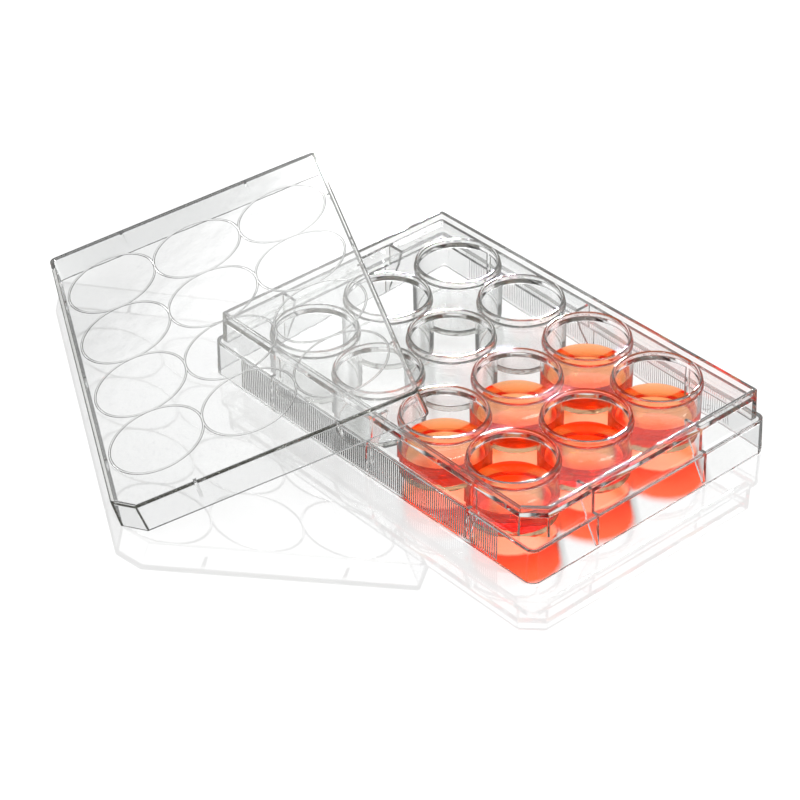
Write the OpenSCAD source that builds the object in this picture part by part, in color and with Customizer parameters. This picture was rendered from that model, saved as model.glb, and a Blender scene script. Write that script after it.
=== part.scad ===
// Twelve-well culture plate in clear moulded plastic, its lid taken off and leaned on one corner,
// with culture medium in the wells of columns 1 and 2.
// Millimetres. The origin is the middle of the footprint on the surface that the plate stands on.
// +X runs along the long side towards column 1, +Y along the short side from row A to row C, +Z is up.

/* [Footprint] */
// Distance between the centres of neighbouring wells
well_pitch = 26; // [25.5:0.1:32]
// Centre of column 1 or 4 to the end of the footprint
end_margin = 24.88; // [22:0.01:32]
// Centre of row A or C to the side of the footprint
side_margin = 16.74; // [16.4:0.01:24]
// Height of the plate's top edge
plate_h = 19.5; // [16:0.1:26]
// Radius of the skirt's upright corners
skirt_corner_r = 2.8; // [1.8:0.1:5]

/* [Walls] */
// Thickness of the skirt
skirt_t = 1.2; // [0.9:0.05:1.6]
// Thickness of the upper wall along its top edge
lip_t = 1.15; // [0.9:0.05:1.5]
// Height of the ledge that the lid's skirt stops at
ledge_z = 10.7; // [7:0.1:12.5]
// Thickness of the ledge
ledge_t = 1.2; // [0.8:0.05:1.6]
// Width of the ledge, from the footprint in to the foot of the upper wall
ledge_w = 1.9; // [1.5:0.05:2.6]
// How far the skirt leans in over its height
skirt_draft = 0.34; // [0.1:0.02:0.5]
// How far the upper wall leans in over its height
upper_draft = 0.35; // [0.1:0.05:0.5]
// Radius of the upper wall's upright corners
upper_corner_r = 0.8; // [0.5:0.05:1.4]
// Leg of the cut corner beside well A1
corner_cut = 5.5; // [3:0.1:8]

/* [Deck and wells] */
// Drop from the top edge to the deck
deck_drop = 2.05; // [1:0.05:3]
// Thickness of the deck
deck_t = 1.3; // [0.9:0.05:1.8]
// Drop from the top edge to the rims of the wells
rim_drop = 0.45; // [0.1:0.05:0.9]
// Inner diameter of a well at its rim
well_d = 22.2; // [16:0.1:22.4]
// How much wider a well is at its rim than at its floor
well_flare = 0.3; // [0:0.05:0.8]
// Wall of a well at its rim
rim_t = 1.02; // [0.8:0.02:1.2]
// Wall of a well's tube under the deck
tube_t = 1.1; // [0.8:0.02:1.2]
// Height of the wells' undersides above the surface
foot_gap = 1.5; // [0.8:0.05:2.5]
// Thickness of a well's floor
floor_t = 1.2; // [0.8:0.05:2]
// Radius of the inside corner between a well's floor and wall
floor_r = 0.5; // [0.2:0.05:1.2]

/* [Gussets and grip] */
// Reach of a gusset inwards under the deck
gusset_reach = 5; // [3.5:0.1:6]
// Thickness of a gusset
gusset_t = 1; // [0.7:0.05:1.3]
// Height of a gusset's foot above the surface
gusset_foot = 0.6; // [0.2:0.05:2]
// Middle of a side to a gusset on a long side
gusset_x = 39; // [30:0.5:45]
// Middle of an end to a gusset on a short side
gusset_y = 19.5; // [14:0.5:30]
// Distance between the grip's grooves
grip_pitch = 0.8; // [0.7:0.05:1.5]
// Width of a groove
grip_w = 0.55; // [0.4:0.05:0.6]
// Depth of a groove
grip_depth = 0.2; // [0.1:0.01:0.25]
// Half the length of the grip
grip_half = 51.4; // [40:0.1:54]
// Height of the grip's lower end
grip_z = 0.9; // [0.5:0.1:2]
// Height of the grip
grip_h = 9; // [5:0.1:10]

/* [Medium] */
// Depth of the medium in a filled well
medium_h = 5.2; // [2:0.1:11]

/* [Lid] */
// Height of the lid
lid_h = 8.9; // [7:0.1:11]
// Thickness of the lid's top
lid_top_t = 1.3; // [1:0.05:1.6]
// Thickness of the lid's skirt
lid_wall_t = 1; // [0.8:0.05:1.2]
// Clearance round the upper wall when the lid is on
lid_gap = 0.25; // [0.15:0.05:0.5]
// How far the lid's skirt leans in over its height
lid_draft = 0.35; // [0.1:0.05:0.5]
// Radius of the lid's upright corners outside
lid_corner_r = 2; // [1.6:0.1:2.6]
// Radius of a condensation ring under the lid, at the middle of its width
ring_r = 13; // [12.4:0.1:13]
// Width of a condensation ring
ring_w = 0.7; // [0.5:0.05:1]
// Height of a condensation ring
ring_h = 0.3; // [0.2:0.05:0.4]
// Length of the centring ribs inside the lid's skirt
rib_len = 4.5; // [3:0.1:6]
// How far a centring rib stands in from the skirt
rib_in = 0.9; // [0.6:0.05:1.2]
// Thickness of a centring rib
rib_t = 0.9; // [0.6:0.05:1.2]

/* [Lid at rest] */
// Turn of the lid's long side from the plate's, seen from above
lid_turn = -27.68; // [-34:0.01:-22]
// Plate's corner to the line where the lid's low side meets the surface
lean_reach = 39.1; // [37:0.1:41]
// Contact with the plate's corner, measured along the lid from its middle
lean_slide = -4.2; // [-6:0.1:-2]
// Clearance kept at the contact
lean_gap = 0.03; // [0.02:0.01:0.2]

/* [Hidden] */

$fn = 96;
cols = 4;
rows = 3;
over = 1;
weld = 0.3;
clear_tint = [0.90, 0.92, 0.93, 0.35];
medium_tint = [0.93, 0.27, 0.08, 0.85];

// Footprint and upper wall
plate_l = (cols - 1) * well_pitch + 2 * end_margin;
plate_w = (rows - 1) * well_pitch + 2 * side_margin;
upper_h = plate_h - ledge_z;
upper_l = plate_l - 2 * ledge_w;
upper_w = plate_w - 2 * ledge_w;
top_inset = ledge_w + upper_draft;
inner_l = plate_l - 2 * (top_inset + lip_t);
inner_w = plate_w - 2 * (top_inset + lip_t);
inner_r = 0.5;
// A corner's cut grows by this share of any distance that the block around it grows by
cut_share = 2 - sqrt(2);
inner_cut = corner_cut - cut_share * lip_t;

// Heights inside the plate
deck_z = plate_h - deck_drop;
deck_under = deck_z - deck_t;
rim_z = plate_h - rim_drop;
floor_z = foot_gap + floor_t;
medium_z = floor_z + medium_h;

// Wells: the inside is one cone from the floor to the rim
rim_in_r = well_d / 2;
rim_out_r = rim_in_r + rim_t;
floor_in_r = rim_in_r - well_flare / 2;
rim_round = 0.6 * rim_t;
rim_root = 0.18;
foot_edge = 0.3;

// Gusset's inner edge: how far in it is at two heights on its way down
gusset_mid = [0.7 * gusset_reach, 11];
gusset_low = [0.5, 5];
gusset_toe = 0.5;

// Lid, fitted over the upper wall
lid_slope = lid_draft / lid_h;
lid_in_l = upper_l + 2 * lid_gap;
lid_in_w = upper_w + 2 * lid_gap;
lid_in_r = lid_corner_r - lid_wall_t;
lid_in_cut = corner_cut + cut_share * (upper_draft + lid_gap);
lid_l = lid_in_l + 2 * lid_wall_t;
lid_w = lid_in_w + 2 * lid_wall_t;
lid_cut = lid_in_cut + cut_share * lid_wall_t;
lid_under = lid_h - lid_top_t;
rib_heel = 0.6;

// Lean of the lid: one long edge is on the surface, and the lid comes down until it meets the plate:
// the plane of its rings meets the plate's corner, or the lower edge of its end meets the long side
ring_low = lid_under - ring_h;
rest_z = plate_h + lean_gap;
corner_lean = acos(ring_low / norm([rest_z, lean_reach])) - atan2(lean_reach, rest_z);
end_x = lid_l / 2 - lid_wall_t - lean_slide;
end_run = (end_x * sin(-lid_turn) - upper_corner_r * (1 - cos(lid_turn))) / cos(lid_turn);
end_lean = atan2(rest_z, lean_reach + end_run);
lean = max(corner_lean, end_lean);
lean_out = (lean_reach + ring_low * sin(lean)) / cos(lean);
seat_z = lean_out * sin(lean) + ring_low * cos(lean);
corner_x = upper_corner_r + top_inset - plate_l / 2;
corner_y = upper_corner_r + top_inset - plate_w / 2;
rest_x = corner_x + upper_corner_r * sin(lid_turn);
rest_y = corner_y - upper_corner_r * cos(lid_turn);

function col_x(c) = ((cols + 1) / 2 - c) * well_pitch;
function row_y(r) = (r - (rows + 1) / 2) * well_pitch;
function well_r(z) = floor_in_r + (rim_in_r - floor_in_r) * (z - floor_z) / (rim_z - floor_z);

module at_wells() {
    for (c = [1:cols], r = [1:rows])
        translate([col_x(c), row_y(r), 0])
            children();
}

// Block with rounded upright corners
module round_block(l, w, r, h) {
    linear_extrude(height = h) {
        square([l - 2 * r, w], center = true);
        square([l, w - 2 * r], center = true);
        for (sx = [-1, 1], sy = [-1, 1])
            translate([sx * (l / 2 - r), sy * (w / 2 - r)])
                circle(r = r);
    }
}

// Prism along X whose two long sides lean in by draft over its height
module lean_slab(l, w, draft, h) {
    translate([-l / 2, 0, 0])
        rotate([90, 0, 90])
            linear_extrude(height = l)
                polygon([[-w / 2, 0], [w / 2, 0], [w / 2 - draft, h], [draft - w / 2, h]]);
}

// Block with rounded upright corners whose sides lean in by draft over its height
module draft_block(l, w, r, draft, h) {
    lean_slab(l - 2 * r, w, draft, h);
    rotate([0, 0, 90])
        lean_slab(w - 2 * r, l, draft, h);
    for (sx = [-1, 1], sy = [-1, 1])
        translate([sx * (l / 2 - r), sy * (w / 2 - r), 0])
            cylinder(r1 = r, r2 = r - draft, h = h);
}

// What is taken off the corner at +X, -Y of a block l by w to leave a cut with legs of length leg
module corner_cutter(l, w, leg, h) {
    side = leg * sqrt(2);
    translate([l / 2, -w / 2, -over])
        rotate([0, 0, 45])
            translate([-side / 2, -side / 2, 0])
                cube([side, side, h + 2 * over]);
}

module cut_block(l, w, r, leg, h) {
    difference() {
        round_block(l, w, r, h);
        corner_cutter(l, w, leg, h);
    }
}

// Half-section of the inside of a well, from its floor up to height top
module well_section(top) {
    intersection() {
        union() {
            polygon([
                [0, floor_z + floor_r],
                [well_r(floor_z + floor_r), floor_z + floor_r],
                [well_r(rim_z + 2 * over), rim_z + 2 * over],
                [0, rim_z + 2 * over]
            ]);
            translate([0, floor_z])
                square([floor_in_r - floor_r, 2 * floor_r]);
            translate([floor_in_r - floor_r, floor_z + floor_r])
                circle(r = floor_r);
        }
        translate([0, floor_z])
            square([well_d, top - floor_z]);
    }
}

module well_space(top) {
    rotate_extrude()
        well_section(top);
}

// Outside of one well: the tube under the deck, and the rim above it with a rounded top
module well_tube() {
    round_z = rim_z - rim_round;
    rotate_extrude() {
        polygon([
            [0, foot_gap],
            [floor_in_r + tube_t - foot_edge, foot_gap],
            [floor_in_r + tube_t, foot_gap + foot_edge],
            [well_r(deck_under) + tube_t, deck_under],
            [rim_out_r + rim_root, deck_under],
            [rim_out_r + rim_root, deck_z],
            [rim_out_r, round_z],
            [0, round_z]
        ]);
        translate([0, round_z])
            square([rim_out_r - rim_round, rim_round]);
        intersection() {
            translate([rim_out_r - rim_round, round_z])
                circle(r = rim_round);
            translate([0, round_z])
                square([rim_out_r, rim_round]);
        }
    }
}

// Tapered gusset that stands along X. wall and skirt are the inner faces of the upper wall and skirt
module gusset(wall, skirt) {
    rotate([90, 0, 0])
        translate([0, 0, -gusset_t / 2])
            linear_extrude(height = gusset_t)
                polygon([
                    [wall - gusset_reach, deck_under + weld],
                    [wall + weld, deck_under + weld],
                    [wall + weld, ledge_z - weld],
                    [skirt + weld, ledge_z - weld],
                    [skirt + weld, gusset_foot],
                    [skirt - gusset_toe, gusset_foot],
                    [wall - gusset_low[0], gusset_low[1]],
                    [wall - gusset_mid[0], gusset_mid[1]]
                ]);
}

module gussets() {
    for (turn = [0, 180], y = [-gusset_y, gusset_y])
        rotate([0, 0, turn])
            translate([0, y, 0])
                gusset(inner_l / 2, plate_l / 2 - skirt_t);
    for (turn = [90, 270], x = [-gusset_x, 0, gusset_x])
        rotate([0, 0, turn])
            translate([0, x, 0])
                gusset(inner_w / 2, plate_w / 2 - skirt_t);
}

// Comb of V-grooves that cuts into the long side at -Y, leaning with it
module grip_comb() {
    n = floor(2 * grip_half / grip_pitch);
    start = -n * grip_pitch / 2;
    clear = 0.05;
    teeth = [for (i = [0:n - 1]) each [
        [start + i * grip_pitch, -clear],
        [start + i * grip_pitch + grip_w / 2, grip_depth],
        [start + i * grip_pitch + grip_w, -clear]
    ]];
    translate([0, -plate_w / 2, 0])
        rotate([-atan(skirt_draft / ledge_z), 0, 0])
            translate([0, 0, grip_z])
                linear_extrude(height = grip_h)
                    polygon(concat([[start, -over]], teeth, [[-start, -over]]));
}

// Skirt, ledge, upper wall and deck
module shell() {
    difference() {
        union() {
            draft_block(plate_l, plate_w, skirt_corner_r, skirt_draft, ledge_z);
            translate([0, 0, ledge_z])
                difference() {
                    draft_block(upper_l, upper_w, upper_corner_r + upper_draft, upper_draft, upper_h);
                    corner_cutter(plate_l - 2 * top_inset, plate_w - 2 * top_inset, corner_cut, upper_h);
                }
        }
        translate([0, 0, -over])
            round_block(
                plate_l - 2 * skirt_t,
                plate_w - 2 * skirt_t,
                skirt_corner_r - skirt_t,
                ledge_z - ledge_t + over
            );
        translate([0, 0, -over])
            cut_block(inner_l, inner_w, inner_r, inner_cut, deck_under + over);
        translate([0, 0, deck_z])
            cut_block(inner_l, inner_w, inner_r, inner_cut, deck_drop + over);
    }
}

module plate() {
    color(clear_tint)
        difference() {
            union() {
                shell();
                gussets();
                at_wells()
                    well_tube();
            }
            at_wells()
                well_space(rim_z + over);
            grip_comb();
            mirror([0, 1, 0])
                grip_comb();
        }
}

module lid_rib(wall) {
    rotate([90, 0, 0])
        translate([0, 0, -rib_t / 2])
            linear_extrude(height = rib_t)
                polygon([
                    [wall + weld, lid_under + weld],
                    [wall - rib_in, lid_under + weld],
                    [wall - rib_in, lid_under - rib_heel],
                    [wall + lid_slope * rib_len, lid_under - rib_len],
                    [wall + lid_slope * rib_len + weld, lid_under - rib_len]
                ]);
}

module lid_ribs() {
    drawn_in = lid_slope * lid_under;
    for (turn = [0, 180], y = [-gusset_y, gusset_y])
        rotate([0, 0, turn])
            translate([0, y, 0])
                lid_rib(lid_in_l / 2 - drawn_in);
    for (turn = [90, 270], x = [-gusset_x, 0, gusset_x])
        rotate([0, 0, turn])
            translate([0, x, 0])
                lid_rib(lid_in_w / 2 - drawn_in);
}

module condensation_ring() {
    translate([0, 0, ring_low])
        difference() {
            cylinder(r = ring_r + ring_w / 2, h = ring_h + weld);
            translate([0, 0, -over])
                cylinder(r = ring_r - ring_w / 2, h = ring_h + over);
        }
}

// Lid in its own frame: middle of its open side at the origin, top up
module lid_shell() {
    reach = lid_slope * over;
    difference() {
        draft_block(lid_l, lid_w, lid_corner_r, lid_draft, lid_h);
        corner_cutter(lid_l, lid_w, lid_cut, lid_h);
        difference() {
            translate([0, 0, -over])
                draft_block(
                    lid_in_l + 2 * reach,
                    lid_in_w + 2 * reach,
                    lid_in_r + reach,
                    lid_slope * (lid_under + over),
                    lid_under + over
                );
            corner_cutter(lid_in_l, lid_in_w, lid_in_cut, lid_under);
        }
    }
}

module lid() {
    color(clear_tint)
        translate([rest_x, rest_y, seat_z])
            rotate([0, 0, lid_turn])
                rotate([lean, 0, 0])
                    translate([-lean_slide, lid_w / 2 - lean_out, -ring_low]) {
                        lid_shell();
                        lid_ribs();
                        at_wells()
                            condensation_ring();
                    }
}

module medium(r, c) {
    color(medium_tint)
        translate([col_x(c), row_y(r), 0])
            well_space(medium_z);
}

plate();
lid();
medium(1, 1);  // medium_a1
medium(2, 1);  // medium_b1
medium(3, 1);  // medium_c1
medium(1, 2);  // medium_a2
medium(2, 2);  // medium_b2
medium(3, 2);  // medium_c2
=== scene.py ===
"""Twelve-well culture plate in clear plastic, its lid leaning on one corner and medium in six wells.

Lengths are in mm unless they say metres, and new_object() turns them into metres.
"""

import math

import bmesh
import bpy
from mathutils import Matrix, Vector


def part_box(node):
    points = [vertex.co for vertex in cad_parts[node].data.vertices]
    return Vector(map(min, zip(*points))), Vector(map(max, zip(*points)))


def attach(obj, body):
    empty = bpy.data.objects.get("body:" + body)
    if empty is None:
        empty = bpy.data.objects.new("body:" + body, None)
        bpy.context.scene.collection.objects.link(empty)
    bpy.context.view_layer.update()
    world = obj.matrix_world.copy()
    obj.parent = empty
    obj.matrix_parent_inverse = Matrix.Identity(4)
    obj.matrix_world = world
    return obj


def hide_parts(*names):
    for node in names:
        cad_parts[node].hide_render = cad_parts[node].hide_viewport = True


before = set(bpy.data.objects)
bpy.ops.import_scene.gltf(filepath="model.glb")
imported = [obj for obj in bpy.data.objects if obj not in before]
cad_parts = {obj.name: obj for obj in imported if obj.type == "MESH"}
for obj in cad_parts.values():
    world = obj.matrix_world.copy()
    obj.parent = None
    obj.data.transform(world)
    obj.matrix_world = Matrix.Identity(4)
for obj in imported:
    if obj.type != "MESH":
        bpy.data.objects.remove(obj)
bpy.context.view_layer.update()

MM = 0.001


def turn(axis, degrees):
    return Matrix.Rotation(math.radians(degrees), 4, axis)


# ---------------------------------------------------------------- camera
# The plate's long side runs up to the left, its cut corner points at the viewer.

# Place in metres, and the directions of the camera's right, its top and its back
CAM_AT = Vector((0.427933, -0.397186, 0.414474))
CAM_X = Vector((0.659808, 0.751258, -0.016257))
CAM_Y = Vector((-0.423651, 0.389775, 0.817677))
CAM_Z = Vector((0.620623, -0.532623, 0.575448))

cam_data = bpy.data.cameras.new("camera")
cam_data.sensor_width = 36.0
cam_data.lens = 118.577
cam_data.clip_start = 0.01
cam_data.clip_end = 50.0
camera = bpy.data.objects.new("camera", cam_data)
camera.matrix_world = Matrix.Translation(CAM_AT) @ Matrix((CAM_X, CAM_Y, CAM_Z)).transposed().to_4x4()
bpy.context.scene.collection.objects.link(camera)
bpy.context.scene.camera = camera

# ---------------------------------------------------------------- sizes, in mm, as in the CAD

PLATE_LO, PLATE_HI = (Vector(corner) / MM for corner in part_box("plate"))
PLATE_L = PLATE_HI.x - PLATE_LO.x
PLATE_W = PLATE_HI.y - PLATE_LO.y
PLATE_H = PLATE_HI.z
PITCH, COLS, ROWS = 26.0, 4, 3

# Skirt: thickness, corner radius and how far it leans in over its height
SKIRT_T, SKIRT_R, SKIRT_DRAFT = 1.2, 2.8, 0.34
# Ledge that the lid's skirt stops at: height, thickness and width
LEDGE_Z, LEDGE_T, LEDGE_W = 10.7, 1.2, 1.9
# Upper wall: thickness at its top, lean and corner radius, and the leg of its cut corner
LIP_T, UPPER_DRAFT, UPPER_R, CUT = 1.15, 0.35, 0.8, 5.5
# Drop from the top edge to the deck, the deck's thickness, and the drop to the wells' rims
DECK_DROP, DECK_T, RIM_DROP = 2.05, 1.3, 0.45
# Well: diameter at the rim, how much narrower it is at its floor, and the walls of its rim and tube
WELL_D, FLARE, RIM_T, TUBE_T = 22.2, 0.3, 1.02, 1.1
# Well: underside above the surface, floor's thickness and inside corner radius
FOOT_GAP, FLOOR_T, FLOOR_R = 1.5, 1.2, 0.5
# Gusset: reach under the deck, thickness, and foot above the surface
GUSSET_REACH, GUSSET_T, GUSSET_FOOT = 5.0, 1.0, 0.6
# Gusset's inner edge: how far in it is at two heights on its way down, and at its toe
GUSSET_MID, GUSSET_LOW, GUSSET_TOE = (0.7 * GUSSET_REACH, 11), (0.5, 5), 0.5
# Middle of a side to a gusset, on a long side and on a short one
GUSSET_X, GUSSET_Y = 39.0, 19.5
# Grip: groove's pitch, width and depth, half the grip's length, its lower end and its height
GRIP_PITCH, GRIP_W, GRIP_DEPTH, GRIP_HALF, GRIP_Z, GRIP_H = 0.8, 0.55, 0.2, 51.4, 0.9, 9.0
MEDIUM_H = 5.2

# Lid: height, thickness of top and skirt, clearance on the plate, lean and outside corner radius
LID_H, LID_TOP_T, LID_WALL_T, LID_GAP, LID_DRAFT, LID_R = 8.9, 1.3, 1.0, 0.25, 0.35, 2.0
# Condensation ring: radius at the middle of its width, width and height
RING_R, RING_W, RING_H = 13.0, 0.7, 0.3
# Centring rib: length, how far it stands in from the skirt, and thickness
RIB_LEN, RIB_IN, RIB_T = 4.5, 0.9, 0.9
# Lid at rest: turn in degrees, plate's corner to its low side, contact's place along it, and clearance there
LID_TURN, LEAN_REACH, LEAN_SLIDE, LEAN_GAP = -27.68, 39.1, -4.2, 0.03

# Edge radii: most edges, the plate's top, the skirt's foot, and the lid's top outside, top inside and foot
EDGE_R, TOP_R, FOOT_R = 0.25, 0.35, 0.15
LID_TOP_R, LID_ROOM_R, LID_FOOT_R = 0.35, 0.3, 0.12
# Upright corner radii: inside the plate's upper wall, and both ends of the cut, from the inside out
INNER_R = 0.5
CUT_IN_R, CUT_OUT_R, LID_CUT_IN_R, LID_CUT_OUT_R = 0.3, 0.4, 0.4, 0.5

TOP_INSET = LEDGE_W + UPPER_DRAFT
INNER_L, INNER_W = PLATE_L - 2 * (TOP_INSET + LIP_T), PLATE_W - 2 * (TOP_INSET + LIP_T)
# A corner's cut grows by this share of any distance that the block around it grows by
CUT_SHARE = 2 - math.sqrt(2)
DECK_Z = PLATE_H - DECK_DROP
DECK_UNDER = DECK_Z - DECK_T
RIM_Z = PLATE_H - RIM_DROP
FLOOR_Z = FOOT_GAP + FLOOR_T
MEDIUM_Z = FLOOR_Z + MEDIUM_H
RIM_IN_R = WELL_D / 2
RIM_OUT_R = RIM_IN_R + RIM_T
FLOOR_IN_R = RIM_IN_R - FLARE / 2

# How far joined solids reach into each other, and how far a cutter runs past what it cuts
WELD, OVER = 0.3, 1.0
# Smallest radius that a block's upright corner may have, and segments round a well and a lid's ring
SMALLEST_R, WELL_SEG, RING_SEG = 0.04, 96, 128


def col_x(c):
    return ((COLS + 1) / 2 - c) * PITCH


def row_y(r):
    return (r - (ROWS + 1) / 2) * PITCH


def well_r(z):
    return FLOOR_IN_R + (RIM_IN_R - FLOOR_IN_R) * (z - FLOOR_Z) / (RIM_Z - FLOOR_Z)


WELLS = [(r, c) for r in range(1, ROWS + 1) for c in range(1, COLS + 1)]

# ---------------------------------------------------------------- outlines


def sides(length, width, cut=0.0):
    """Edges of a block, anticlockwise from +X, with a corner cut at +X, -Y if cut isn't 0.

    An edge is (normal x, normal y, distance, share of the draft).
    """
    edges = [(1, 0, length / 2, 1), (0, 1, width / 2, 1), (-1, 0, length / 2, 1), (0, -1, width / 2, 1)]
    if cut:
        h = math.sqrt(0.5)
        edges.append((h, -h, (length / 2 + width / 2 - cut) * h, 0))
    return edges


def corner_radii(r, cut_r=0.0):
    return [r] * 3 + ([cut_r, cut_r] if cut_r else [r])


def outline(edges, radii, inset, lean, seg):
    """Points round a block with rounded corners, set in by inset + lean."""
    at = []
    n = len(edges)
    for i in range(n):
        ax, ay, ad, al = edges[i]
        bx, by, bd, bl = edges[(i + 1) % n]
        ad, bd = ad - inset - lean * al, bd - inset - lean * bl
        det = ax * by - ay * bx
        corner = ((ad * by - bd * ay) / det, (ax * bd - bx * ad) / det)
        r = max(radii[i] - inset - lean * min(al, bl), SMALLEST_R)
        share = 1 + ax * bx + ay * by
        cx, cy = corner[0] - r * (ax + bx) / share, corner[1] - r * (ay + by) / share
        a0, a1 = math.atan2(ay, ax), math.atan2(by, bx)
        if a1 < a0:
            a1 += 2 * math.pi
        for k in range(seg + 1):
            a = a0 + (a1 - a0) * k / seg
            at.append((cx + r * math.cos(a), cy + r * math.sin(a)))
    return at


def arc(n, start, stop):
    """n + 1 angles from start to stop, in degrees, as (cos, sin)."""
    steps = [math.radians(start + (stop - start) * k / n) for k in range(n + 1)]
    return [(math.cos(a), math.sin(a)) for a in steps]


def circle_at(centre, r, z, seg):
    turns = [2 * math.pi * k / seg for k in range(seg)]
    return [(centre[0] + r * math.cos(a), centre[1] + r * math.sin(a), z) for a in turns]


# ---------------------------------------------------------------- mesh tools


def new_object(name, bm):
    bmesh.ops.recalc_face_normals(bm, faces=bm.faces)
    mesh = bpy.data.meshes.new(name)
    bm.to_mesh(mesh)
    bm.free()
    mesh.transform(Matrix.Scale(MM, 4))
    obj = bpy.data.objects.new(name, mesh)
    bpy.context.scene.collection.objects.link(obj)
    return obj


def join_loops(bm, a, b):
    """Faces between two closed loops of as many vertices."""
    for i in range(len(a)):
        j = (i + 1) % len(a)
        bm.faces.new((a[i], a[j], b[j], b[i]))


def tower_into(bm, rings):
    """Closed solid through rings of points, with a flat face at each end."""
    loops = [[bm.verts.new(p) for p in ring] for ring in rings]
    for a, b in zip(loops, loops[1:]):
        join_loops(bm, a, b)
    bm.faces.new(list(reversed(loops[0])))
    bm.faces.new(loops[-1])


def block(name, edges, radii, z0, z1, draft=0.0, low_r=0.0, top_r=0.0, seg=6, steps=4):
    """Upright block with rounded corners.

    A negative low_r or top_r flares out there, for a cutter that leaves a rounded edge.
    """
    rings = []

    def ring(z, inset):
        lean = draft * (z - z0) / (z1 - z0)
        rings.append([(x, y, z) for x, y in outline(edges, radii, inset, lean, seg)])

    if low_r > 0:
        for c, s in arc(steps, -90, 0):
            ring(z0 + low_r * (1 + s), low_r * (1 - c))
    elif low_r < 0:
        ring(z0 - OVER, low_r)
        for c, s in arc(steps, 90, 0):
            ring(z0 - low_r * (1 - s), low_r * (1 - c))
    else:
        ring(z0, 0)
    if top_r > 0:
        for c, s in arc(steps, 0, 90):
            ring(z1 - top_r * (1 - s), top_r * (1 - c))
    elif top_r < 0:
        for c, s in arc(steps, 0, 90):
            ring(z1 + top_r * (1 - s), top_r * (1 - c))
        ring(z1 + OVER, top_r)
    else:
        ring(z1, 0)

    bm = bmesh.new()
    tower_into(bm, rings)
    return new_object(name, bm)


def lathe_into(bm, profile, centre):
    """Closed solid of revolution: profile runs from the axis to the axis as (radius, z)."""
    loops = []
    for r, z in profile:
        ring = circle_at(centre, r, z, WELL_SEG) if r else [(*centre, z)]
        loops.append([bm.verts.new(p) for p in ring])
    for a, b in zip(loops, loops[1:]):
        if len(a) == len(b):
            join_loops(bm, a, b)
            continue
        for i in range(WELL_SEG):
            j = (i + 1) % WELL_SEG
            bm.faces.new((a[0], b[j], b[i]) if len(a) == 1 else (a[i], a[j], b[0]))


def torus_into(bm, profile, centre):
    """Closed ring: profile is a closed loop of (radius, z)."""
    loops = [[bm.verts.new(p) for p in circle_at(centre, r, z, RING_SEG)] for r, z in profile]
    for a, b in zip(loops, loops[1:] + loops[:1]):
        join_loops(bm, a, b)


def at_wells_object(name, profile):
    """The same lathed solid at every well."""
    bm = bmesh.new()
    for r, c in WELLS:
        lathe_into(bm, profile, (col_x(c), row_y(r)))
    return new_object(name, bm)


def blades_object(name, end_blade, side_blade, thick, edge_r):
    """Flat blades round the plate, two on each end and three on each side.

    A blade's points are (distance from the plate's middle, z).
    """
    bm = bmesh.new()

    def blade(points, degrees, shift):
        place = turn("Z", degrees) @ Matrix.Translation((0, shift, 0))
        tower_into(bm, [[place @ Vector((x, y, z)) for x, z in points] for y in (thick / 2, -thick / 2)])

    for degrees in (0, 180):
        for shift in (-GUSSET_Y, GUSSET_Y):
            blade(end_blade, degrees, shift)
    for degrees in (90, 270):
        for shift in (-GUSSET_X, 0, GUSSET_X):
            blade(side_blade, degrees, shift)
    bmesh.ops.bevel(bm, geom=bm.edges[:], offset=edge_r, segments=2, affect="EDGES", profile=0.5)
    return new_object(name, bm)


def ribbon_into(bm, path, wide, z0, z1, matrix):
    """Raised stroke along a path of (x, y)."""
    spans = [(Vector(b) - Vector(a)).normalized() for a, b in zip(path, path[1:])]
    rings = []
    for i, point in enumerate(path):
        before, after = spans[max(i - 1, 0)], spans[min(i, len(spans) - 1)]
        side = Vector((-before.y - after.y, before.x + after.x))
        side *= wide / (side.x * -after.y + side.y * after.x) / 2
        left, right = Vector(point) - side, Vector(point) + side
        corners = ((left, z0), (right, z0), (right, z1), (left, z1))
        rings.append([matrix @ Vector((*at, z)) for at, z in corners])
    tower_into(bm, rings)


def apply_modifiers(obj):
    graph = bpy.context.evaluated_depsgraph_get()
    done = bpy.data.meshes.new_from_object(obj.evaluated_get(graph), depsgraph=graph)
    obj.modifiers.clear()
    old = obj.data
    obj.data = done
    bpy.data.meshes.remove(old)


def combine(base, steps):
    """Adds or cuts each (operation, object) in turn, and leaves only base."""
    for operation, tool in steps:
        mod = base.modifiers.new("step", "BOOLEAN")
        mod.operation = operation
        mod.solver = "MANIFOLD"
        mod.object = tool
    apply_modifiers(base)
    for _, tool in steps:
        mesh = tool.data
        bpy.data.objects.remove(tool)
        bpy.data.meshes.remove(mesh)
    return base


def finish_surface(obj, angle=32):
    """Smooths curved faces and keeps flat ones flat. Edges sharper than angle, in degrees, stay sharp."""
    smallest = 1e-7
    bm = bmesh.new()
    bm.from_mesh(obj.data)
    bmesh.ops.remove_doubles(bm, verts=bm.verts, dist=smallest)
    bmesh.ops.dissolve_degenerate(bm, edges=bm.edges, dist=smallest)
    bm.to_mesh(obj.data)
    bm.free()
    obj.data.polygons.foreach_set("use_smooth", [True] * len(obj.data.polygons))
    obj.data.set_sharp_from_angle(angle=math.radians(angle))
    mod = obj.modifiers.new("flat faces stay flat", "WEIGHTED_NORMAL")
    mod.mode = "FACE_AREA_WITH_ANGLE"
    mod.weight = 60
    mod.keep_sharp = True
    apply_modifiers(obj)


# ---------------------------------------------------------------- plate


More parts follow.
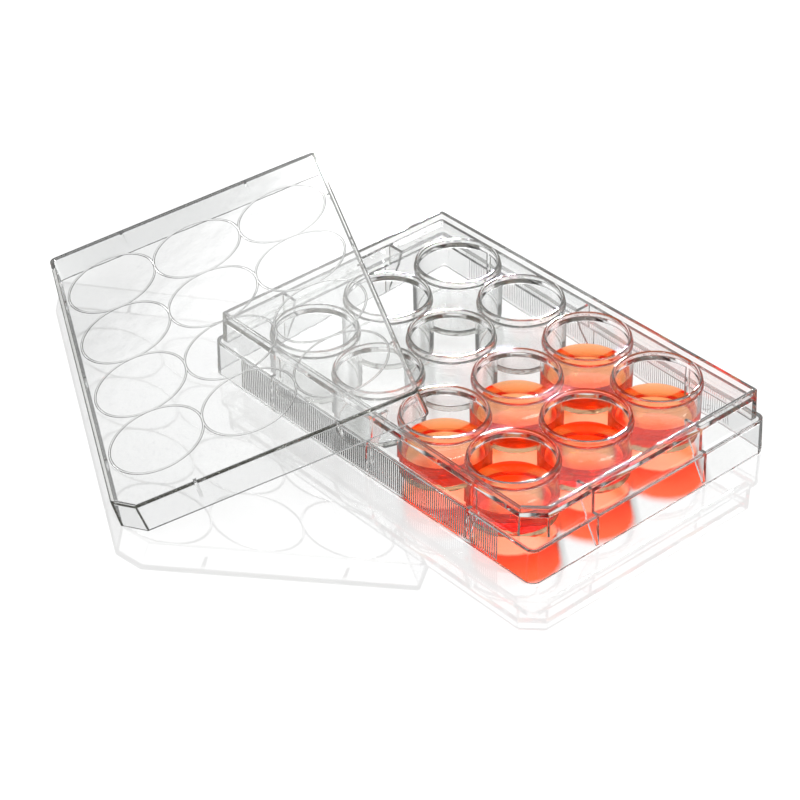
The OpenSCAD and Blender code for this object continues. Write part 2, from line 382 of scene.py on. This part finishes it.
def tube_profile():
    """Outside of a well: tube, deck fillets and the rim with its rounded top."""
    foot_r = root_r = 0.3
    top_r = 0.45 * RIM_T
    foot = FLOOR_IN_R + TUBE_T - foot_r
    under = well_r(DECK_UNDER) + TUBE_T
    p = [(0, FOOT_GAP), (foot, FOOT_GAP)]
    p += [(foot + foot_r * c, FOOT_GAP + foot_r * (1 + s)) for c, s in arc(4, -90, 0)][1:]
    p += [(under + root_r * (1 - c), DECK_UNDER - root_r * (1 - s)) for c, s in arc(4, 0, 90)]
    p += [(under + root_r, DECK_UNDER + WELD), (RIM_OUT_R + root_r, DECK_Z - WELD)]
    p += [(RIM_OUT_R + root_r * (1 - c), DECK_Z + root_r * (1 - s)) for c, s in arc(4, 90, 0)]
    p += [(RIM_OUT_R - top_r * (1 - c), RIM_Z - top_r * (1 - s)) for c, s in arc(5, 0, 90)]
    return p + [(0, RIM_Z)]


def floor_profile(out=0.0):
    """A well's floor and the corner round it, from the axis, set out into the plastic by out."""
    flat, r = FLOOR_IN_R - FLOOR_R, FLOOR_R + out
    p = [(0, FLOOR_Z - out), (flat, FLOOR_Z - out)]
    return p + [(flat + r * c, FLOOR_Z + FLOOR_R + r * s) for c, s in arc(6, -90, 0)][1:]


def well_profile():
    """Inside of a well, which flares over the rim's inner edge."""
    flare = 0.4 * RIM_T
    p = floor_profile()
    p += [(well_r(RIM_Z - flare) + flare * (1 - c), RIM_Z - flare * (1 - s)) for c, s in arc(5, 0, 90)]
    return p + [(RIM_IN_R + flare, RIM_Z + OVER), (0, RIM_Z + OVER)]


def gusset(wall, skirt):
    """Outline of a gusset as (distance from the plate's middle, z), with both walls' inner sides given."""
    return [
        (wall - GUSSET_REACH, DECK_UNDER + WELD),
        (wall + WELD, DECK_UNDER + WELD),
        (wall + WELD, LEDGE_Z - WELD),
        (skirt + WELD, LEDGE_Z - WELD),
        (skirt + WELD, GUSSET_FOOT),
        (skirt - GUSSET_TOE, GUSSET_FOOT),
        (wall - GUSSET_LOW[0], GUSSET_LOW[1]),
        (wall - GUSSET_MID[0], GUSSET_MID[1]),
    ]


def grip_object(side):
    """Comb of V-grooves for the long side at -Y (side 1) or +Y (side -1), leaning with it."""
    clear = 0.05
    groove = ((-clear, -clear), (GRIP_W / 2, GRIP_DEPTH), (GRIP_W + clear, -clear))
    n = int(2 * GRIP_HALF / GRIP_PITCH)
    bm = bmesh.new()
    for i in range(n):
        x = (i - n / 2) * GRIP_PITCH
        rings = []
        for z in (GRIP_Z + GRIP_H, GRIP_Z):
            y = SKIRT_DRAFT / LEDGE_Z * z - PLATE_W / 2
            rings.append([(x + dx, (y + dy) * side, z) for dx, dy in groove])
        tower_into(bm, rings)
    return new_object("grip", bm)


# Each letter or number is one or more strokes, in a box 0.7 wide and 1 high
STROKES = {
    "A": [[(0, 0), (0.35, 1), (0.7, 0)], [(0.24, 0.34), (0.46, 0.34)]],
    "B": [[(0, 0), (0, 1)],
          [(0.14, 0.97), (0.45, 0.95), (0.6, 0.78), (0.45, 0.57), (0.62, 0.3), (0.5, 0.05), (0.14, 0.03)]],
    "C": [[(0.68, 0.8), (0.5, 0.98), (0.2, 0.96), (0, 0.7), (0, 0.3), (0.2, 0.04), (0.5, 0.02), (0.68, 0.2)]],
    "1": [[(0.1, 0.78), (0.35, 1), (0.35, 0)]],
    "2": [[(0.03, 0.75), (0.2, 0.98), (0.5, 0.96), (0.6, 0.7), (0, 0.03), (0.66, 0.03)]],
    "3": [[(0.03, 0.97), (0.6, 0.97), (0.3, 0.6), (0.58, 0.42), (0.56, 0.12), (0.3, 0), (0.02, 0.12)]],
    "4": [[(0.42, 0), (0.42, 1), (0, 0.34), (0.3, 0.34)], [(0.56, 0.34), (0.7, 0.34)]],
}
# Step from one sign to the next and half a sign's width, as shares of its size
SIGN_STEP, SIGN_HALF = 0.95, 0.35
# Height of the raised strokes, their depth in the deck, and their width as a share of a letter's size
LABEL_HIGH, LABEL_DEEP, LABEL_STROKE = 0.12, 0.1, 0.14
# Place from the middle of the plate's side and from the row, or from the well's centre, and size
ROW_LABEL_X, ROW_LABEL_Y, ROW_LABEL_SIZE = 56.3, 0.8, 2.4
WELL_LABEL_X, WELL_LABEL_Y, WELL_LABEL_SIZE = 10.5, -8.2, 1.5


def labels_object():
    """Row letters at both ends of the deck, and a label beside each well of rows B and C.

    They are to be read from +Y, with A1 at the top left.
    """
    bm = bmesh.new()

    def write(text, x, y, size):
        for k, sign in enumerate(text):
            at = (x - size * (SIGN_STEP * k - SIGN_HALF), y + size / 2, 0)
            place = Matrix.Translation(at) @ turn("Z", 180) @ Matrix.Diagonal((size, size, 1, 1))
            for path in STROKES[sign]:
                ribbon_into(bm, path, LABEL_STROKE, DECK_Z - LABEL_DEEP, DECK_Z + LABEL_HIGH, place)

    for r, letter in enumerate("ABC", 1):
        for x in (-ROW_LABEL_X, ROW_LABEL_X):
            write(letter, x, row_y(r) + ROW_LABEL_Y, ROW_LABEL_SIZE)
        if letter == "A":
            continue
        for c in range(1, COLS + 1):
            write(letter + str(c), col_x(c) + WELL_LABEL_X, row_y(r) + WELL_LABEL_Y, WELL_LABEL_SIZE)
    return new_object("labels", bm)


def build_plate():
    skirt = block("plate_moulding", sides(PLATE_L, PLATE_W), corner_radii(SKIRT_R),
                  0, LEDGE_Z, SKIRT_DRAFT, FOOT_R, EDGE_R)
    upper_edges = sides(PLATE_L - 2 * LEDGE_W, PLATE_W - 2 * LEDGE_W, CUT + CUT_SHARE * UPPER_DRAFT)
    upper = block("upper", upper_edges, corner_radii(UPPER_R + UPPER_DRAFT, CUT_OUT_R),
                  LEDGE_Z - 2 * WELD, PLATE_H, UPPER_DRAFT, 0, TOP_R)
    skirt_room = block("skirt_room", sides(PLATE_L - 2 * SKIRT_T, PLATE_W - 2 * SKIRT_T),
                       corner_radii(SKIRT_R - SKIRT_T), 0, LEDGE_Z - LEDGE_T, 0, -FOOT_R, EDGE_R)
    inner_edges = sides(INNER_L, INNER_W, CUT - CUT_SHARE * LIP_T)
    inner_radii = corner_radii(INNER_R, CUT_IN_R)
    upper_room = block("upper_room", inner_edges, inner_radii, -OVER, DECK_UNDER, 0, 0, EDGE_R)
    recess = block("recess", inner_edges, inner_radii, DECK_Z, PLATE_H, 0, EDGE_R, -TOP_R)
    gussets = blades_object("gussets", gusset(INNER_L / 2, PLATE_L / 2 - SKIRT_T),
                            gusset(INNER_W / 2, PLATE_W / 2 - SKIRT_T), GUSSET_T, 0.12)
    return combine(skirt, [
        ("UNION", upper), ("DIFFERENCE", skirt_room), ("DIFFERENCE", upper_room), ("DIFFERENCE", recess),
        ("UNION", gussets), ("UNION", at_wells_object("tubes", tube_profile())),
        ("DIFFERENCE", at_wells_object("rooms", well_profile())), ("UNION", labels_object()),
        ("DIFFERENCE", grip_object(1)), ("DIFFERENCE", grip_object(-1)),
    ])


# ---------------------------------------------------------------- lid

LID_UNDER = LID_H - LID_TOP_T
RING_LOW = LID_UNDER - RING_H
LID_IN_L = PLATE_L - 2 * LEDGE_W + 2 * LID_GAP
LID_IN_W = PLATE_W - 2 * LEDGE_W + 2 * LID_GAP
LID_L, LID_W = LID_IN_L + 2 * LID_WALL_T, LID_IN_W + 2 * LID_WALL_T
LID_IN_CUT = CUT + CUT_SHARE * (UPPER_DRAFT + LID_GAP)
LID_CUT = LID_IN_CUT + CUT_SHARE * LID_WALL_T
LID_SLOPE = LID_DRAFT / LID_H


def lid_place():
    """Where the lid rests: low long edge on the surface, rings' plane on the plate's corner at -X, -Y."""
    rest_z = PLATE_H + LEAN_GAP
    lean = math.acos(RING_LOW / math.hypot(rest_z, LEAN_REACH)) - math.atan2(LEAN_REACH, rest_z)
    lean_out = (LEAN_REACH + RING_LOW * math.sin(lean)) / math.cos(lean)
    away = math.radians(LID_TURN)
    rest_x = UPPER_R + TOP_INSET - PLATE_L / 2 + UPPER_R * math.sin(away)
    rest_y = UPPER_R + TOP_INSET - PLATE_W / 2 - UPPER_R * math.cos(away)
    return (
        Matrix.Translation((rest_x, rest_y, rest_z))
        @ turn("Z", LID_TURN)
        @ Matrix.Rotation(lean, 4, "X")
        @ Matrix.Translation((-LEAN_SLIDE, LID_W / 2 - lean_out, -RING_LOW))
    )


def rings_object(odd):
    """Half-round condensation rings over every other well. Neighbours overlap, so there are two such sets."""
    top = LID_UNDER + WELD
    profile = [(RING_R - RING_W / 2, top), (RING_R + RING_W / 2, top)]
    profile += [(RING_R + RING_W / 2 * c, RING_LOW + RING_H * (1 + s)) for c, s in arc(10, 0, -180)]
    bm = bmesh.new()
    for r, c in WELLS:
        if (r + c) % 2 == odd:
            torus_into(bm, profile, (col_x(c), row_y(r)))
    return new_object("rings", bm)


def rib(inside):
    """Centring rib on a skirt whose inside is this far out at the lid's foot."""
    heel = 0.6
    wall = inside - LID_SLOPE * LID_UNDER
    foot = wall + LID_SLOPE * RIB_LEN
    return [
        (foot + WELD, LID_UNDER + WELD), (wall - RIB_IN, LID_UNDER + WELD), (wall - RIB_IN, LID_UNDER - heel),
        (foot, LID_UNDER - RIB_LEN), (foot + WELD, LID_UNDER - RIB_LEN),
    ]


def build_lid():
    shell = block("lid_moulding", sides(LID_L, LID_W, LID_CUT), corner_radii(LID_R, LID_CUT_OUT_R),
                  0, LID_H, LID_DRAFT, LID_FOOT_R, LID_TOP_R)
    room_radii = corner_radii(LID_R - LID_WALL_T, LID_CUT_IN_R)
    room = block("lid_room", sides(LID_IN_L, LID_IN_W, LID_IN_CUT), room_radii,
                 0, LID_UNDER, LID_SLOPE * LID_UNDER, -LID_FOOT_R, LID_ROOM_R)
    ribs = blades_object("ribs", rib(LID_IN_L / 2), rib(LID_IN_W / 2), RIB_T, 0.1)
    lid = combine(shell, [
        ("DIFFERENCE", room), ("UNION", rings_object(0)), ("UNION", rings_object(1)), ("UNION", ribs),
    ])
    lid.data.transform(Matrix.Scale(MM, 4) @ lid_place() @ Matrix.Scale(1 / MM, 4))
    return lid


# ---------------------------------------------------------------- medium

# How far the medium goes into the well's wall, so that no air shows between them
SINK = 0.03
# Middle of the surface under the CAD's level, how far it climbs at the wall, and over what width
MEDIUM_DIP, MEDIUM_RISE, MEDIUM_REACH = 0.7, 1.8, 2.7


def medium_profile():
    """Medium that wets the well: flat floor, wall, and a surface that climbs at the wall."""
    mid = MEDIUM_Z - MEDIUM_DIP
    edge_z = mid + MEDIUM_RISE
    edge_r = well_r(edge_z) + SINK
    from_wall = (0.1, 0.3, 0.6, 1.0, 1.5, 2.1, 2.8, 3.6, 4.5, 5.6, 7.0, 9.0)
    p = floor_profile(SINK) + [(edge_r, edge_z)]
    p += [(edge_r - d, mid + MEDIUM_RISE * math.exp(-d / MEDIUM_REACH)) for d in from_wall]
    return p + [(0, mid)]


def build_medium(node, r, c):
    bm = bmesh.new()
    lathe_into(bm, medium_profile(), (col_x(c), row_y(r)))
    return new_object(node + "_liquid", bm)


# ---------------------------------------------------------------- materials


class Nodes:
    """Short calls for building a node tree."""

    def __init__(self, tree):
        self.tree = tree
        tree.nodes.clear()

    def add(self, kind, inputs=None, **settings):
        node = self.tree.nodes.new(kind)
        for key, value in settings.items():
            setattr(node, key, value)
        for key, value in (inputs or {}).items():
            self.put(node.inputs[key], value)
        return node

    def put(self, socket, value):
        if isinstance(value, bpy.types.NodeSocket):
            self.tree.links.new(value, socket)
        else:
            socket.default_value = value

    def math(self, operation, a, b=0.0, c=0.0):
        node = self.add("ShaderNodeMath", operation=operation)
        for socket, value in zip(node.inputs, (a, b, c)):
            self.put(socket, value)
        return node.outputs[0]

    def product(self, first, *others):
        for other in others:
            first = self.math("MULTIPLY", first, other)
        return first

    def highest(self, first, *others):
        for other in others:
            first = self.math("MAXIMUM", first, other)
        return first

    def ramp(self, value, low, high, start=0.0, stop=1.0, kind="LINEAR"):
        """From start, where value is low, to stop, where it is high, and no further."""
        ends = {"Value": value, "From Min": low, "From Max": high, "To Min": start, "To Max": stop}
        return self.add("ShaderNodeMapRange", ends, interpolation_type=kind).outputs[0]

    def xyz(self, vector):
        return self.add("ShaderNodeSeparateXYZ", {"Vector": vector}).outputs

    def colour(self, factor, a, b):
        return self.add("ShaderNodeMix", {0: factor, 6: a, 7: b}, data_type="RGBA").outputs[2]

    def noise(self, scale, detail, roughness=0.5, distortion=0.0):
        """Noise fixed to the object, with scale in cells per metre."""
        at = self.add("ShaderNodeTexCoord").outputs["Object"]
        return self.add("ShaderNodeTexNoise", {
            "Vector": at, "Scale": scale, "Detail": detail, "Roughness": roughness, "Distortion": distortion,
        }).outputs["Fac"]

    def see_through(self, colour, ior, height, metres):
        """Smooth clear shader, whose bumps follow height and are this many metres high."""
        bump = self.add("ShaderNodeBump", {"Strength": 1.0, "Distance": metres, "Height": height})
        return self.add("ShaderNodeBsdfPrincipled", {
            "Base Color": colour, "Roughness": 0.0, "IOR": ior, "Transmission Weight": 1.0,
            "Normal": bump.outputs[0],
        }).outputs[0]

    def transparent(self, colour):
        return self.add("ShaderNodeBsdfTransparent", {"Color": colour}).outputs[0]

    def mix(self, factor, a, b):
        node = self.add("ShaderNodeMixShader")
        for socket, value in zip(node.inputs, (factor, a, b)):
            self.put(socket, value)
        return node.outputs[0]

    def finish(self, surface, absorbed=None, density=0.0):
        """Output, with absorbed as the colour that the inside lets through."""
        out = self.add("ShaderNodeOutputMaterial", {"Surface": surface})
        if absorbed:
            inside = self.add("ShaderNodeVolumeAbsorption", {"Color": absorbed, "Density": density})
            self.put(out.inputs["Volume"], inside.outputs[0])


def material(name):
    mat = bpy.data.materials.new(name)
    mat.use_nodes = True
    return mat, Nodes(mat.node_tree)


def lamp_passes(n, shader, clear):
    """The shader, but a lamp's light meets clear instead and goes straight on, which is fast to render."""
    return n.mix(n.add("ShaderNodeLightPath").outputs["Is Shadow Ray"], shader, clear)


def level_faces(n, geometry):
    """1 on faces that lie more level than upright, and 0 on the others."""
    return n.math("GREATER_THAN", n.math("ABSOLUTE", n.xyz(geometry.outputs["True Normal"])[2]), 0.5)


def plastic_material():
    """Clear polystyrene: faint waves, cloudy specks, and a shadow that is darker where light grazes it."""
    clean, cloudy = (0.985, 0.99, 0.99, 1), (0.80, 0.81, 0.83, 1)
    mat, n = material("clear_polystyrene")
    specks = n.ramp(n.noise(900.0, 6.0, 0.7), 0.55, 0.8)
    waves = n.noise(160.0, 2.0, 0.45)
    shader = n.see_through(n.colour(specks, clean, cloudy), 1.59, waves, 0.00002)
    level = level_faces(n, n.add("ShaderNodeNewGeometry"))
    grazing = n.add("ShaderNodeLayerWeight", {"Blend": 0.5}).outputs["Facing"]
    blocked = n.math("POWER", grazing, n.math("MULTIPLY_ADD", level, -3.0, 9.0))
    shadow = n.mix(blocked, n.transparent((0.99, 0.99, 0.99, 1)), n.transparent((0, 0, 0, 1)))
    n.finish(lamp_passes(n, shader, shadow), (0.50, 0.50, 0.42, 1), 18.0)
    return mat


def medium_material():
    """Culture medium: slight streaks of tone, still ripples, and a painted deeper colour on its upright side,
    which stands in for light that runs a long way through it.

    Lamp light that leaves through the side is deeper in colour too. What leaves through a level face is
    raised, to make up for what the inside absorbs.
    """
    # side is a painted deeper colour: it stands in for light that runs a long way through the medium, not a
    # tone of the medium itself
    pale, streak, side = (1.0, 0.91, 0.80, 1), (1.0, 0.80, 0.62, 1), (1.0, 0.36, 0.12, 1)
    lamp_through, lamp_from_side, white = (1.65, 1.27, 1.72, 1), (0.85, 0.13, 0.03, 1), (1, 1, 1, 1)
    mat, n = material("culture_medium")
    geometry = n.add("ShaderNodeNewGeometry")
    tone = n.colour(n.noise(220.0, 3.0, 0.55, 0.6), pale, streak)
    # Upright faces take the painted deeper colour, side, in place of the medium's own tone
    upright = n.ramp(n.math("ABSOLUTE", n.xyz(geometry.outputs["Normal"])[2]), 0.3, 0.8, 1.0, 0.0)
    shader = n.see_through(n.colour(upright, tone, side), 1.33, n.noise(90.0, 1.0), 0.00004)
    from_side = n.colour(geometry.outputs["Backfacing"], lamp_from_side, white)
    shadow = n.transparent(n.colour(level_faces(n, geometry), from_side, lamp_through))
    n.finish(lamp_passes(n, shader, shadow), (0.996, 0.58, 0.15, 1), 270.0)
    return mat


# ---------------------------------------------------------------- pieces

plastic = plastic_material()
liquid = medium_material()

plate = build_plate()
finish_surface(plate)
plate.data.materials.clear()
plate.data.materials.append(plastic)
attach(plate, "root")
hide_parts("plate")

lid = build_lid()
finish_surface(lid)
lid.data.materials.clear()
lid.data.materials.append(plastic)
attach(lid, "root")
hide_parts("lid")

for node, r, c in (("medium_a1", 1, 1), ("medium_b1", 2, 1), ("medium_c1", 3, 1),
                   ("medium_a2", 1, 2), ("medium_b2", 2, 2), ("medium_c2", 3, 2)):
    piece = build_medium(node, r, c)
    finish_surface(piece, 50)
    piece.data.materials.append(liquid)
    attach(piece, "root")
    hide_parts(node)

# ---------------------------------------------------------------- floor, world and lamp

WHITE, BLACK = (1, 1, 1, 1), (0, 0, 0, 1)
# The floor's side, how far it lies under the plate, and the width of its change at the plate's foot
FLOOR_SIZE, FLOOR_DROP, FLOOR_EDGE = 6000.0, 0.05, 1.0
# Round the plate, the share of the floor that is plain white, and its gloss under the plate and round it
FLOOR_PLAIN, GLOSS_UNDER, GLOSS_ROUND = 0.85, 0.01, 0.3
# How bright the plastic mirrors the floor and the world
FLOOR_MIRRORED, WORLD_MIRRORED = 0.2, 0.25
# What the room behind the viewer, and the patch that the lid's top mirrors, add to that
VIEWER_SIDE, LID_PATCH = 0.4, 1.6
# Brightness of the room's dark parts
ROOM = 0.02
# Soft edges of the room's white band and of the lid's patch, each between two values: a direction's z,
# how far it points behind the object (1) or the viewer (-1), and how near it is to the patch's middle (1)
BAND_FOOT, BAND_TOP = (0.49, 0.52), (0.67, 0.63)
BAND_ENDS, WIDE_BAND_ENDS = (0.80, 0.92), (0.0, 0.35)
VIEWER_EDGE, VIEWER_MIRRORED_EDGE = (0.2, -0.15), (0.05, -0.2)
PATCH_EDGE = (0.95, 0.98)
# While the faces that light has passed go from few to many, the band widens and the mirrored floor brightens
FACES_PASSED = (4.0, 8.0)

# Level, away from the viewer
BACK = -Vector((CAM_Z.x, CAM_Z.y, 0)).normalized()
# Where the lid's top mirrors the camera's look
LID_SEES = (-0.783, 0.219, 0.579)


def build_floor():
    """Floor that takes the coloured light under the plate.

    Round the plate it is plain white, with faint shadows and a faint mirror image of the object.
    What the plastic mirrors sees it dimmed.
    """
    bm = bmesh.new()
    below = Matrix.Translation((0, 0, -FLOOR_DROP))
    bmesh.ops.create_grid(bm, x_segments=1, y_segments=1, size=FLOOR_SIZE / 2, matrix=below)
    floor = new_object("floor", bm)
    mat, n = material("white_floor")
    path = n.add("ShaderNodeLightPath").outputs
    at = n.xyz(n.add("ShaderNodeNewGeometry").outputs["Position"])
    outside = n.highest(*(
        n.math("SUBTRACT", n.math("ABSOLUTE", axis), (size - SKIRT_T) / 2 * MM)
        for axis, size in zip(at, (PLATE_L, PLATE_W))
    ))
    seen = n.highest(path["Is Camera Ray"], path["Is Transmission Ray"], path["Is Reflection Ray"])
    direct = n.math("LESS_THAN", path["Diffuse Depth"], 0.5)
    plain = n.ramp(outside, 0.0, FLOOR_EDGE * MM, 0.0, FLOOR_PLAIN)
    shine = n.ramp(outside, 0.0, FLOOR_EDGE * MM, GLOSS_UNDER, GLOSS_ROUND)
    matte = n.add("ShaderNodeBsdfDiffuse", {"Color": (0.85, 0.85, 0.85, 1)}).outputs[0]
    white = n.add("ShaderNodeEmission", {"Color": WHITE, "Strength": 1.0}).outputs[0]
    gloss = n.add("ShaderNodeBsdfGlossy", {"Color": WHITE, "Roughness": 0.03}).outputs[0]
    dark = n.add("ShaderNodeBsdfDiffuse", {"Color": BLACK}).outputs[0]
    surface = n.mix(shine, n.mix(n.product(seen, direct, plain), matte, white), gloss)
    mirrored = n.math("GREATER_THAN", path["Glossy Depth"], 0.5)
    dimmed = n.ramp(path["Transmission Depth"], *FACES_PASSED, 1.0 - FLOOR_MIRRORED, 0.0)
    n.finish(n.mix(n.product(mirrored, dimmed), surface, dark))
    floor.data.materials.append(mat)
    return floor


def build_world():
    """White wherever the camera or the floor's gloss sees it.

    What the plastic bends and mirrors is a dim room. It is bright behind the viewer, and has a low white band
    behind the object and a bright patch where the lid's top mirrors it.
    """
    world = bpy.data.worlds.new("studio")
    bpy.context.scene.world = world
    world.use_nodes = True
    n = Nodes(world.node_tree)

    def ramp(value, low, high):
        return n.ramp(value, low, high, kind="SMOOTHSTEP")

    path = n.add("ShaderNodeLightPath").outputs
    direction = n.add("ShaderNodeTexCoord").outputs["Generated"]
    x, y, z = n.xyz(direction)
    level = n.math("SQRT", n.math("SUBTRACT", 1.0, n.math("MULTIPLY", z, z)))
    towards_back = n.math("ADD", n.math("MULTIPLY", x, BACK.x), n.math("MULTIPLY", y, BACK.y))
    behind = n.math("DIVIDE", towards_back, level)
    wide = n.product(ramp(path["Transmission Depth"], *FACES_PASSED), ramp(behind, *WIDE_BAND_ENDS))
    width = n.highest(wide, ramp(behind, *BAND_ENDS))
    band = n.product(ramp(z, *BAND_FOOT), ramp(z, *BAND_TOP), width)
    room = n.math("MULTIPLY_ADD", n.highest(band, ramp(behind, *VIEWER_EDGE)), 1.0 - ROOM, ROOM)

    lid_patch = n.add("ShaderNodeVectorMath", {0: direction, 1: LID_SEES}, operation="DOT_PRODUCT")
    lid_patch = ramp(lid_patch.outputs["Value"], *PATCH_EDGE)
    mirrored = n.math("MULTIPLY_ADD", ramp(behind, *VIEWER_MIRRORED_EDGE), VIEWER_SIDE, WORLD_MIRRORED)
    mirrored = n.math("MULTIPLY_ADD", lid_patch, LID_PATCH, mirrored)
    mirrored = n.product(path["Is Reflection Ray"], mirrored)
    direct = n.math("LESS_THAN", path["Diffuse Depth"], 0.5)
    in_plastic = n.product(n.highest(mirrored, path["Is Transmission Ray"]), direct, room)
    in_floor = n.product(path["Is Reflection Ray"], n.math("SUBTRACT", 1.0, path["Is Singular Ray"]))
    strength = n.highest(in_plastic, in_floor, path["Is Camera Ray"], ROOM)
    sky = n.add("ShaderNodeBackground", {"Color": WHITE, "Strength": strength})
    n.add("ShaderNodeOutputWorld", {"Surface": sky.outputs[0]})


def back_lamp(strength, spread, elevation):
    """Sun lamp behind the object, facing the viewer, so that the floor is lit evenly. Angles in degrees."""
    lamp = bpy.data.lights.new("back_lamp", "SUN")
    lamp.energy = strength
    lamp.angle = math.radians(spread)
    obj = bpy.data.objects.new("back_lamp", lamp)
    rise = math.radians(elevation)
    shines = -BACK * math.cos(rise) - Vector((0, 0, math.sin(rise)))
    obj.rotation_euler = shines.to_track_quat("-Z", "Y").to_euler()
    bpy.context.scene.collection.objects.link(obj)
    return obj


build_floor()
build_world()
back_lamp(strength=9.9, spread=5.0, elevation=27)

# Light bends and bounces through many walls before it leaves the plastic
scene = bpy.context.scene
scene.view_settings.view_transform = "Standard"
scene.cycles.max_bounces = 160
scene.cycles.transmission_bounces = 64
scene.cycles.glossy_bounces = 128
scene.cycles.transparent_max_bounces = 32
scene.cycles.caustics_refractive = False
scene.cycles.caustics_reflective = False
